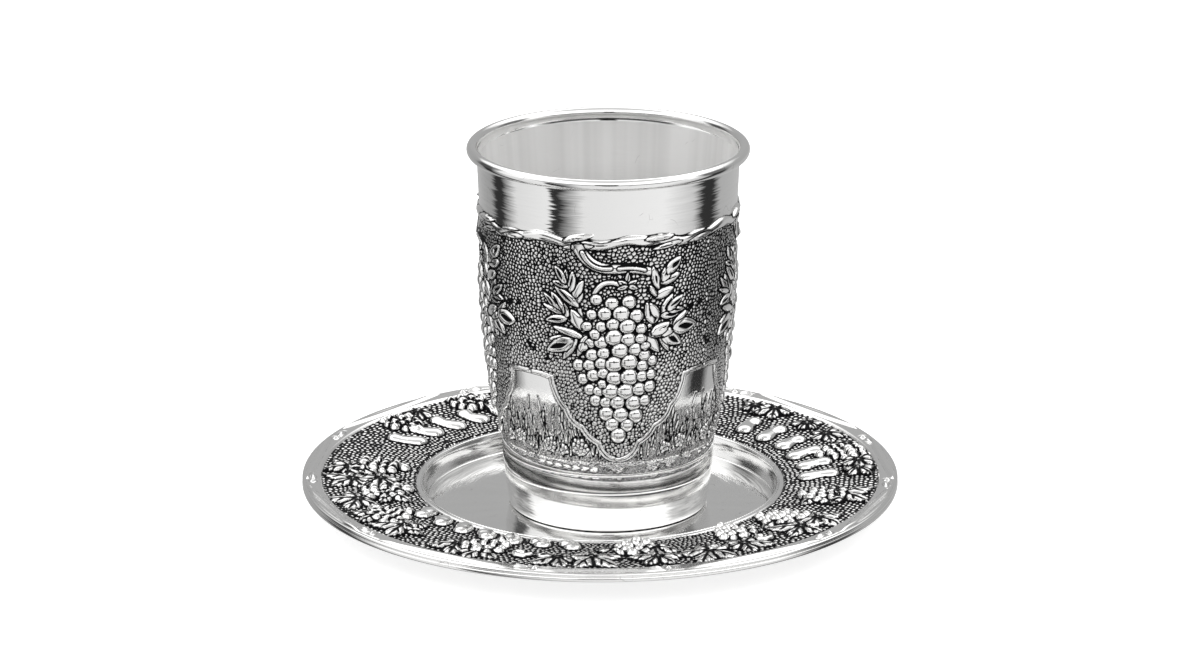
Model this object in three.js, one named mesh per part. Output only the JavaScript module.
// A kiddush cup standing on its own saucer, both cast in metal and plated with silver.
// Millimetres, +Z up. The origin is the centre of the saucer's underside, and -Y is the front.
// Each piece is a lathe-turned body closed by a relief sheet: points laid out on the unrolled surface,
// lifted by a height function, joined by a Delaunay triangulation and wrapped around the axis.
import * as THREE from "three";
import { mergeGeometries, mergeVertices } from "three/addons/utils/BufferGeometryUtils.js";

// ---------------------------------------------------------------- driving dimensions

// saucer
const saucerRadius = 70;
const sheetThickness = 1.4; // of the saucer
const wellRadius = 41.9; // at the top of the well's wall
const wellDepth = 4.9;
const borderInner = 43.4; // radii between which the saucer's border is carved
const borderOuter = 65.4;
const borderRise = 1.5; // the border climbs this much on its way out
const mouldingRadius = 67.1; // the rounded moulding around the border
const mouldingRise = 1.15;
const saucerColumns = 48;
const saucerSectors = 3; // the border's pattern repeats three times

// cup
const cupOffset = 1.9; // the cup stands this far right of the saucer's middle
const restGap = 0.05; // between the cup's foot and the saucer's floor
const cupTurn = 5.3; // degrees by which a panel's middle is turned from the front
const cupColumns = 40; // ten to a panel
const panels = 4;
const footRadius = 23.4;
const reliefBottom = 17.2; // heights between which the cup is carved
const reliefTop = 73.9;
const groundTop = 70; // the sunk ground ends here, under the branch border
const groundTopRadius = 29.5;
const groundFall = 4.5; // the ground's radius shrinks this much towards the foot
const bandRadius = 29.95; // the plain band above the relief, at its lower edge
const bandTopRadius = 30.42;
const wallThickness = 1.05;
const rimRadius = 31.43; // the middle of the rolled rim
const rimHeight = 85.8;
const rollRadius = 1.3;

// one panel of the cup, unrolled: u to the right of its middle, z up
const panelHalf = 22.75;
const grapeRows = [3, 4, 4, 5, 6, 5, 4, 3, 2, 1];
const grapePitch = 3.4;
const grapeRowPitch = 3.6;
const clusterTop = 57.6;
const grapeRadius = 1.9;
const grapeVariation = 0.28;
const grapeFlattening = 0.72;
const windowTop = 38.3;

const radians = THREE.MathUtils.degToRad;
const { sin, cos, hypot, min, max, abs, PI } = Math;

// ---------------------------------------------------------------- relief sheets

// Delaunay triangulation of flat points [x, y], by adding them one by one (Bowyer-Watson).
function delaunay(points) {
  const reach = 1e5;
  const all = [...points, [-reach, -reach], [reach, -reach], [0, reach]];
  const n = points.length;
  const withCircle = (a, b, c) => {
    const [[ax, ay], [bx, by], [cx, cy]] = [all[a], all[b], all[c]];
    const d = 2 * (ax * (by - cy) + bx * (cy - ay) + cx * (ay - by));
    const [a2, b2, c2] = [ax * ax + ay * ay, bx * bx + by * by, cx * cx + cy * cy];
    const x = (a2 * (by - cy) + b2 * (cy - ay) + c2 * (ay - by)) / d;
    const y = (a2 * (cx - bx) + b2 * (ax - cx) + c2 * (bx - ax)) / d;
    return { corners: d > 0 ? [a, b, c] : [a, c, b], x, y, r2: (ax - x) ** 2 + (ay - y) ** 2 };
  };
  let triangles = [withCircle(n, n + 1, n + 2)];
  points.forEach(([px, py], i) => {
    const edges = new Map();
    triangles = triangles.filter((t) => {
      if ((px - t.x) ** 2 + (py - t.y) ** 2 > t.r2) return true;
      t.corners.forEach((a, k) => {
        const b = t.corners[(k + 1) % 3];
        if (!edges.delete(b + "," + a)) edges.set(a + "," + b, [a, b]);
      });
      return false;
    });
    for (const [a, b] of edges.values()) triangles.push(withCircle(a, b, i));
  });
  return triangles.map((t) => t.corners).filter((t) => max(...t) < n);
}

// A rectangle of points with its edges divided evenly, and the inner points that keep their distance.
function sheetPoints(width, low, high, columns, rows, wanted, spacing) {
  const kept = [];
  for (let i = 0; i <= columns; i++) {
    const x = width * (i / columns - 0.5);
    kept.push([x, low], [x, high]);
  }
  for (let j = 1; j < rows; j++) {
    const y = low + ((high - low) * j) / rows;
    kept.push([-width / 2, y], [width / 2, y]);
  }
  for (const [x, y] of wanted) {
    const inside = abs(x) < width / 2 - spacing / 2 && y > low + spacing / 2 && y < high - spacing / 2;
    if (inside && kept.every(([a, b]) => hypot(a - x, b - y) > spacing)) kept.push([x, y]);
  }
  return kept;
}

// The triangles of a sheet. Its edges are bowed out a little first, so that every edge point is on the hull.
function sheetTriangles(points, width, low, high) {
  const bow = 0.02;
  const middle = (low + high) / 2;
  const bowed = points.map(([x, y], i) => {
    const [s, t] = [(2 * x) / width, (y - middle) / (high - middle)];
    const shake = 1e-4 * sin(91.7 * i);
    return [x + bow * s * (1 - t * t) + shake, y + bow * t * (1 - s * s) + shake];
  });
  return delaunay(bowed);
}

// Wraps copies of a sheet around the axis: place(x, y, turn) gives a vertex, turned by the copy's angle.
function wrapSheet(points, triangles, copies, place, flip) {
  const positions = [];
  for (let k = 0; k < copies; k++)
    for (const t of triangles) {
      const corners = flip ? [t[0], t[2], t[1]] : t;
      for (const i of corners) positions.push(...place(points[i][0], points[i][1], (2 * PI * k) / copies));
    }
  return new THREE.BufferGeometry().setAttribute("position", new THREE.Float32BufferAttribute(positions, 3));
}

// A surface turned around Z from a profile of [radius, height] points.
function lathe(profile, columns) {
  const turned = new THREE.LatheGeometry(
    profile.map(([r, z]) => new THREE.Vector2(r, z)),
    columns,
  );
  turned.rotateX(PI / 2);
  turned.deleteAttribute("normal");
  turned.deleteAttribute("uv");
  return turned.toNonIndexed();
}

function weld(pieces) {
  return mergeVertices(mergeGeometries(pieces), 1e-3);
}

// ---------------------------------------------------------------- motifs

// A point at a distance and heading (degrees) from another.
const step = ([x, y], heading, distance) => [
  x + distance * cos(radians(heading)),
  y + distance * sin(radians(heading)),
];

// A bunch of round grapes, in staggered rows of the given counts, pushed apart until they only just overlap.
function bunch(rows, pitch, rowPitch, radius, variation) {
  const grapes = rows.flatMap((count, i) =>
    Array.from({ length: count }, (_, j) => ({
      x: (j - (count - 1) / 2) * pitch + 0.11 * pitch * sin(2.4 * i + 1.9 * j + 1),
      y: -i * rowPitch + 0.12 * pitch * sin(1.3 * i + 2.8 * j),
      r: radius + variation * sin(3.7 * i + 2.2 * j),
    })),
  );
  for (let round = 0; round < 40; round++)
    grapes.forEach((a, i) =>
      grapes.slice(i + 1).forEach((b) => {
        const [dx, dy] = [b.x - a.x, b.y - a.y];
        const distance = hypot(dx, dy);
        const push = (0.94 * (a.r + b.r) - distance) / 2;
        if (push < 0) return;
        a.x -= (push * dx) / distance;
        a.y -= (push * dy) / distance;
        b.x += (push * dx) / distance;
        b.y += (push * dy) / distance;
      }),
    );
  return grapes;
}

// A stalk with pairs of narrow leaflets and one at its end.
function spray(origin, heading, stalk, pairs, length, width) {
  const leaflets = [{ base: step(origin, heading, stalk), heading, length, width }];
  for (let k = 0; k < pairs; k++)
    for (const side of [-1, 1])
      leaflets.push({
        base: step(origin, heading, (stalk * (k + 0.35)) / pairs),
        heading: heading + side * 50,
        length: length * (1 - 0.12 * k),
        width,
      });
  return leaflets;
}

// Heights of the motifs at a point. Each is zero outside its motif.
function grapeHeight(grapes, x, y, flattening) {
  const domes = grapes.map((g) => Math.sqrt(max(0, g.r ** 2 - (x - g.x) ** 2 - (y - g.y) ** 2)));
  return flattening * max(...domes);
}

function leafletHeight(leaflets, x, y, height) {
  return max(
    0,
    ...leaflets.map((leaf) => {
      const a = radians(leaf.heading);
      const [dx, dy] = [x - leaf.base[0], y - leaf.base[1]];
      const along = (dx * cos(a) + dy * sin(a)) / leaf.length;
      const across = abs(dy * cos(a) - dx * sin(a));
      if (along <= 0 || along >= 1) return 0;
      return height * max(0, 1 - across / (leaf.width * Math.sqrt(sin(PI * along))));
    }),
  );
}

// Points that carry each motif: tops, shoulders and the grooves or outlines around them.
// A grape has the given number of corners.
function grapePoints(grapes, corners) {
  const tops = grapes.map((g) => [g.x, g.y]);
  const grooves = grapes.flatMap((a, i) =>
    grapes
      .slice(i + 1)
      .filter((b) => hypot(a.x - b.x, a.y - b.y) < 1.08 * (a.r + b.r))
      .map((b) => [(a.x * b.r + b.x * a.r) / (a.r + b.r), (a.y * b.r + b.y * a.r) / (a.r + b.r)]),
  );
  const shoulders = grapes.flatMap((g, i) =>
    Array.from({ length: corners }, (_, k) =>
      step([g.x, g.y], (360 * k) / corners + 45 * (i % 2), 0.66 * g.r),
    ),
  );
  const feet = grapes
    .flatMap((g) => [0, 1, 2, 3, 4].map((k) => step([g.x, g.y], 72 * k + 18, 1.03 * g.r)))
    .filter(([x, y]) => grapes.every((g) => hypot(x - g.x, y - g.y) > 1.01 * g.r));
  return [...tops, ...grooves, ...shoulders, ...feet];
}

function leafletPoints(leaflets) {
  return leaflets.flatMap((leaf) => {
    const middle = step(leaf.base, leaf.heading, leaf.length / 2);
    return [
      middle,
      step(leaf.base, leaf.heading, 1.02 * leaf.length),
      step(middle, leaf.heading + 90, 1.02 * leaf.width),
      step(middle, leaf.heading - 90, 1.02 * leaf.width),
    ];
  });
}

// A ridge along a line of points: its crest and the foot on either side.
function ridgePoints(line, half) {
  return line.flatMap(([x, y], i) => {
    const [before, after] = [line[max(0, i - 1)], line[min(line.length - 1, i + 1)]];
    const heading = THREE.MathUtils.radToDeg(Math.atan2(after[1] - before[1], after[0] - before[0]));
    return [[x, y], step([x, y], heading + 90, half), step([x, y], heading - 90, half)];
  });
}

function distanceToLine(line, x, y) {
  let best = Infinity;
  for (let i = 0; i + 1 < line.length; i++) {
    const [[ax, ay], [bx, by]] = [line[i], line[i + 1]];
    const [dx, dy] = [bx - ax, by - ay];
    const t = min(1, max(0, ((x - ax) * dx + (y - ay) * dy) / (dx * dx + dy * dy)));
    best = min(best, hypot(x - ax - t * dx, y - ay - t * dy));
  }
  return best;
}

// Points on an arc from a to b that swells by the given amount to the right of its way.
function arc(a, b, swell, count) {
  const [dx, dy] = [b[0] - a[0], b[1] - a[1]];
  const length = hypot(dx, dy);
  return Array.from({ length: count }, (_, i) => {
    const t = i / count;
    const out = 4 * swell * t * (1 - t);
    return [a[0] + t * dx + (out * dy) / length, a[1] + t * dy - (out * dx) / length];
  });
}

// ---------------------------------------------------------------- the cup

const groundRadius = (z) =>
  z > groundTop
    ? groundTopRadius + ((bandRadius - groundTopRadius) * (z - groundTop)) / (reliefTop - groundTop)
    : groundTopRadius - groundFall * ((groundTop - z) / (groundTop - 17.6)) ** 1.9;

// The scalloped edge of the pebbled ground, from its rounded point at the bottom up to a window's top.
const scallopRight = [
  ...arc([0, 18.4], [5.4, 22.4], 1.2, 2),
  ...arc([5.4, 22.4], [10.7, 28.6], 0.9, 2),
  ...arc([10.7, 28.6], [15.2, 33.2], 0.7, 2),
  ...arc([15.2, 33.2], [16.9, windowTop], 0.4, 2),
  [16.9, windowTop],
  [panelHalf, windowTop],
];
const mirrored = (line) => line.map(([x, y]) => [-x, y]);
const scallop = [...mirrored(scallopRight).reverse().slice(0, -1), ...scallopRight];

const clusterGrapes = bunch(grapeRows, grapePitch, grapeRowPitch, grapeRadius, grapeVariation).map((g) => ({
  ...g,
  y: g.y + clusterTop,
}));

const leaves = [-1, 1].flatMap((side) => {
  const heading = (degrees) => (side > 0 ? degrees : 180 - degrees);
  return [
    ...spray([7.6 * side, 53.6], heading(60), 7.6, 2, 5.6, 1.15),
    ...spray([8.2 * side, 50.4], heading(22), 6.2, 1, 5.8, 1.25),
    ...spray([9 * side, 48], heading(-30), 1.4, 1, 6.2, 1.3),
  ];
});

// The branch that the bunch hangs from, springing from the border above.
const branch = [...arc([-6.4, 70], [8.6, 61.6], -1.9, 6), [8.6, 61.6]];
const branchHalf = 0.9;

const borderLine = (x) => 71.9 + 0.3 * sin((2 * PI * x * 3) / (2 * panelHalf));

function panelHeight(x, z) {
  const bead = 0.45 * max(0, 1 - distanceToLine(scallop, x, z) / 0.6);
  const border = 0.85 * max(0, 1 - (abs(z - borderLine(x)) / 1.9) ** 2);
  const stem = 0.8 * max(0, 1 - distanceToLine(branch, x, z) / branchHalf);
  const edge = min(1, (z - reliefBottom) / 1.4);
  return max(
    bead * edge,
    border,
    stem,
    grapeHeight(clusterGrapes, x, z, grapeFlattening),
    leafletHeight(leaves, x, z, 0.75),
  );
}

function cupRelief() {
  const borderColumns = 9;
  const borderPoints = Array.from({ length: borderColumns }, (_, i) => {
    const x = panelHalf * ((2 * i + 1) / borderColumns - 1);
    return [
      [x, borderLine(x)],
      [x, borderLine(x) - 1.9],
    ];
  }).flat();
  const fill = [-1, 1].flatMap((side) => [
    ...[44, 52, 60, 66].map((z) => [side * 19, z]),
    ...[28, 23].map((z) => [side * 17, z]),
    [side * 12, 37],
    [side * 4, 66.4],
    [side * 2.6, 22.6],
  ]);
  const wanted = [
    ...ridgePoints(scallop, 0.7),
    ...ridgePoints(branch, branchHalf),
    ...grapePoints(clusterGrapes, 4),
    ...leafletPoints(leaves),
    ...borderPoints,
    ...fill,
  ];
  const width = 2 * panelHalf;
  const points = sheetPoints(width, reliefBottom, reliefTop, cupColumns / panels, 9, wanted, 0.72);
  const triangles = sheetTriangles(points, width, reliefBottom, reliefTop);
  const place = (x, z, turn) => {
    const onEnd = z > reliefTop - 1e-6 || z < reliefBottom + 1e-6;
    const onSide = abs(x) > panelHalf - 1e-6; // both sides of a panel have the height of the right one
    const r = groundRadius(z) + (onEnd ? 0 : panelHeight(onSide ? panelHalf : x, z));
    const angle = (x / panelHalf) * (PI / panels) + turn;
    return [r * sin(angle), -r * cos(angle), z];
  };
  return wrapSheet(points, triangles, panels, place, false);
}

function cupGeometry() {
  const roll = [-115, -50, 15, 80, 145, 205].map((a) =>
    step([rimRadius, rimHeight], a, rollRadius),
  );
  const innerWall = [62, 46, 32, reliefBottom].map((z) => [groundRadius(z) - wallThickness, z]);
  const above = [
    [bandRadius, reliefTop],
    [30.1, 77],
    [bandTopRadius, 84],
    ...roll,
    [29.45, 84],
    [28.6, 72],
    ...innerWall,
    [23.3, 9],
    [22.8, 4.4],
    [21.2, 2.6],
    [0, 2.4],
  ];
  const below = [
    [0, 0.8],
    [19.6, 0.8],
    [20.4, 0],
    [22.9, 0],
    [footRadius, 0.5],
    [24.05, 4.8],
    [24.4, 9.1],
    [24.75, 9.5],
    [24.8, 13.8],
    [groundRadius(reliefBottom), reliefBottom],
  ];
  return weld([lathe(below, cupColumns), cupRelief(), lathe(above, cupColumns)]);
}

// ---------------------------------------------------------------- the saucer

const floorTop = sheetThickness;
const borderHeight = (r) =>
  floorTop + wellDepth - 0.25 + (borderRise * (r - borderInner)) / (borderOuter - borderInner);

// One sector of the border, unrolled: x along the ring, y outwards from the axis.
const borderMiddle = (borderInner + borderOuter) / 2;
const sectorWidth = (2 * PI * borderMiddle) / saucerSectors;
const alongRing = (degrees) => radians(degrees) * borderMiddle;

// Bunches of grapes hang inwards, away from the rows of strokes.
const smallBunch = bunch([2, 3, 3, 2, 1], 2.9, 2.5, 1.42, 0.12);
const borderGrapes = [-47, 47].flatMap((angle) =>
  smallBunch.map((g) => ({ x: alongRing(angle) + g.x, y: 57 + g.y, r: g.r })),
);

// Vine leaves of five lobes: the angle between two lobes, and each lobe's reach from the leaf's middle.
const lobeAngle = 360 / 5;
const lobeReach = 4.6;
const notchReach = 2.5;
const leafCentres = [-54, -33, -19.5, -6.5, 6.5, 19.5, 33, 54].map((angle, i) => ({
  middle: [alongRing(angle), i % 7 ? 58.6 - 0.6 * (i % 2) : 49],
  turn: 90 + 24 * sin(2.1 * i),
}));

function leafHeight(x, y) {
  const away = (leaf) => hypot(x - leaf.middle[0], y - leaf.middle[1]);
  const { middle, turn } = leafCentres.reduce((best, leaf) => (away(leaf) < away(best) ? leaf : best));
  const [dx, dy] = [x - middle[0], y - middle[1]];
  const angle = THREE.MathUtils.radToDeg(Math.atan2(dy, dx)) - turn;
  const toLobe = abs(THREE.MathUtils.euclideanModulo(angle + lobeAngle / 2, lobeAngle) - lobeAngle / 2);
  const t = (2 * toLobe) / lobeAngle;
  const edge = lobeReach + (notchReach - lobeReach) * t;
  const reach = hypot(dx, dy) / edge;
  return reach < 1 ? 0.9 * (1 - 0.45 * t) * Math.sqrt(1 - reach) + 0.12 : 0;
}

function leafPoints({ middle, turn }) {
  const around = (reach, offset) =>
    [0, 1, 2, 3, 4].map((k) => step(middle, turn + lobeAngle * (k + offset), reach));
  const lobes = [...around(1.04 * lobeReach, 0), ...around(0.55 * lobeReach, 0)];
  return [middle, ...lobes, ...around(0.98 * notchReach, 0.5)];
}

// Short plain strokes in a row, where the saucer carries a line of writing.
const strokeHalf = 1.05;
const strokes = [-25, -17, -9, 0, 8, 16, 24].map((angle, i) => {
  const heading = [62, 90, 118][i % 3];
  const middle = [alongRing(angle), 48.8 + 0.5 * (i % 2)];
  return [step(middle, heading, -2.4), middle, step(middle, heading, 2.4)];
});
const strokePoints = (line) => [
  ...ridgePoints(line, 1.06 * strokeHalf),
  ...[line[0], line[2]].map((end) => [
    end[0] + (0.45 * strokeHalf * (end[0] - line[1][0])),
    end[1] + (0.45 * strokeHalf * (end[1] - line[1][1])),
  ]),
];

function sectorHeight(x, y) {
  const stroke = max(...strokes.map((line) => 1 - (distanceToLine(line, x, y) / strokeHalf) ** 2));
  return max(
    grapeHeight(borderGrapes, x, y, 0.85),
    leafHeight(x, y),
    0.95 * Math.sqrt(max(0, stroke)),
  );
}

function saucerRelief() {
  const wanted = [
    ...grapePoints(borderGrapes, 3),
    ...strokes.flatMap(strokePoints),
    ...leafCentres.flatMap(leafPoints),
  ];
  const columns = saucerColumns / saucerSectors;
  const rows = 4;
  const points = sheetPoints(sectorWidth, borderInner, borderOuter, columns, rows, wanted, 0.7);
  const triangles = sheetTriangles(points, sectorWidth, borderInner, borderOuter);
  const place = (x, y, turn) => {
    const onEdge =
      abs(x) > sectorWidth / 2 - 1e-6 || y < borderInner + 1e-6 || y > borderOuter - 1e-6;
    const z = borderHeight(y) + (onEdge ? 0 : sectorHeight(x, y));
    const angle = x / borderMiddle + turn;
    return [y * sin(angle), -y * cos(angle), z];
  };
  return wrapSheet(points, triangles, saucerSectors, place, true);
}

function saucerGeometry() {
  const landHeight = floorTop + wellDepth;
  const edgeHeight = borderHeight(borderOuter) + 0.3;
  const inside = [
    [borderInner, borderHeight(borderInner)],
    [borderInner - 0.3, landHeight],
    [wellRadius + 0.3, landHeight],
    [wellRadius, landHeight - 0.4],
    [wellRadius - 0.9, floorTop + 0.5],
    [wellRadius - 1.6, floorTop],
    [0, floorTop],
  ];
  const outside = [
    [0, 0],
    [wellRadius + 0.2, 0],
    [wellRadius + 1, 0.7],
    [borderInner + 0.3, borderHeight(borderInner) - sheetThickness],
    [borderOuter, borderHeight(borderOuter) - sheetThickness],
    [saucerRadius - 0.5, edgeHeight - 0.8],
    [saucerRadius, edgeHeight - 0.3],
    [saucerRadius, edgeHeight + 0.2],
    [saucerRadius - 0.7, edgeHeight + 0.35],
    [mouldingRadius + 0.8, edgeHeight + 0.8 * mouldingRise],
    [mouldingRadius, edgeHeight + mouldingRise],
    [mouldingRadius - 0.8, edgeHeight + 0.8 * mouldingRise],
    [mouldingRadius - 1.4, edgeHeight],
    [borderOuter, borderHeight(borderOuter)],
  ];
  return weld([lathe(outside, saucerColumns), saucerRelief(), lathe(inside, saucerColumns)]);
}

// ---------------------------------------------------------------- assembly

const silver = () => new THREE.MeshStandardMaterial({ color: 0xc9cacb, roughness: 0.22, metalness: 1 });

const set = new THREE.Group();

const saucer = new THREE.Mesh(saucerGeometry(), silver());
saucer.name = "saucer";
saucer.rotation.z = radians(-15); // the first row of strokes lies to the left of the front
set.add(saucer);

const cup = new THREE.Mesh(cupGeometry(), silver());
cup.name = "cup";
cup.position.set(cupOffset, 0, floorTop + restGap);
cup.rotation.z = radians(cupTurn);
set.add(cup);

export default set;
